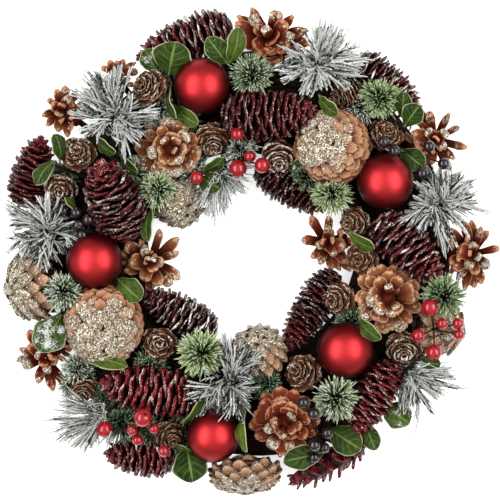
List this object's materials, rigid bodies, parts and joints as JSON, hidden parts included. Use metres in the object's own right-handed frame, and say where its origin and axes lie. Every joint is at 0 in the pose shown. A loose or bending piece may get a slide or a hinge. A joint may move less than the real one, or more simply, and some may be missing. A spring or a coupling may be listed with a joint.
{
  "type": "pinecone wreath",
  "caption": "Round winter wreath of pine, spruce and larch cones, red baubles, berries, leaves and flocked pine sprays on a twisted vine ring.",
  "frame": {"origin": "under the middle of the wreath's box, on the surface that the wreath's back lies on", "axes": "+Z out of the wreath's face, +Y towards the top of the picture, +X to its right"},
  "size_m": [0.366, 0.3506, 0.086],
  "materials": {
    "vine": "rough twisted vine bark",
    "bauble": "satin red lacquer",
    "open_cone": "dry open pine cone, varnished, with some champagne glitter",
    "glitter_cone": "pine cone thickly dusted with champagne glitter",
    "red_cone": "closed spruce cone in burgundy gloss varnish, frosted at the scales' rims",
    "larch_cone": "small larch cone with pale scale rims",
    "red_berry": "glossy red lacquer with a dark calyx dot",
    "dark_berry": "glossy purple black lacquer",
    "greenery": "green leaves with a cream edge and green needle tufts, lightly frosted",
    "flocked_needle": "grey green pine needles under white flock"
  },
  "bodies": {
    "root": {"vine_ring": "vine", "bauble_1": "bauble", "bauble_2": "bauble", "bauble_3": "bauble", "bauble_4": "bauble", "bauble_5": "bauble", "rosette_cone_1": "open_cone", "rosette_cone_2": "open_cone", "rosette_cone_3": "open_cone", "open_cone_1": "open_cone", "open_cone_2": "open_cone", "open_cone_3": "open_cone", "open_cone_4": "open_cone", "open_cone_5": "open_cone", "open_cone_6": "open_cone", "open_cone_7": "open_cone", "open_cone_8": "open_cone", "glitter_cone_1": "glitter_cone", "glitter_cone_2": "glitter_cone", "glitter_cone_3": "glitter_cone", "glitter_cone_4": "glitter_cone", "glitter_cone_5": "glitter_cone", "glitter_cone_6": "glitter_cone", "glitter_cone_7": "glitter_cone", "red_cone_1": "red_cone", "red_cone_2": "red_cone", "red_cone_3": "red_cone", "red_cone_4": "red_cone", "red_cone_5": "red_cone", "red_cone_6": "red_cone", "red_cone_7": "red_cone", "red_cone_8": "red_cone", "red_cone_9": "red_cone", "red_cone_10": "red_cone", "red_cone_11": "red_cone", "red_cone_12": "red_cone", "red_cone_13": "red_cone", "larch_twig_upper_left": "larch_cone", "larch_twig_top": "larch_cone", "larch_twig_right": "larch_cone", "larch_twig_lower_left": "larch_cone", "red_berries_top": "red_berry", "red_berries_lower_left": "red_berry", "red_berries_right": "red_berry", "dark_berries_left": "dark_berry", "dark_berries_right": "dark_berry", "dark_berries_bottom": "dark_berry", "greenery_upper_left": "greenery", "greenery_top": "greenery", "greenery_right": "greenery", "greenery_bottom": "greenery", "greenery_left": "greenery", "flocked_spray_1": "flocked_needle", "flocked_spray_2": "flocked_needle", "flocked_spray_3": "flocked_needle", "flocked_spray_4": "flocked_needle", "flocked_spray_5": "flocked_needle", "flocked_spray_6": "flocked_needle", "flocked_spray_7": "flocked_needle", "flocked_spray_8": "flocked_needle"}
  },
  "joints": []
}
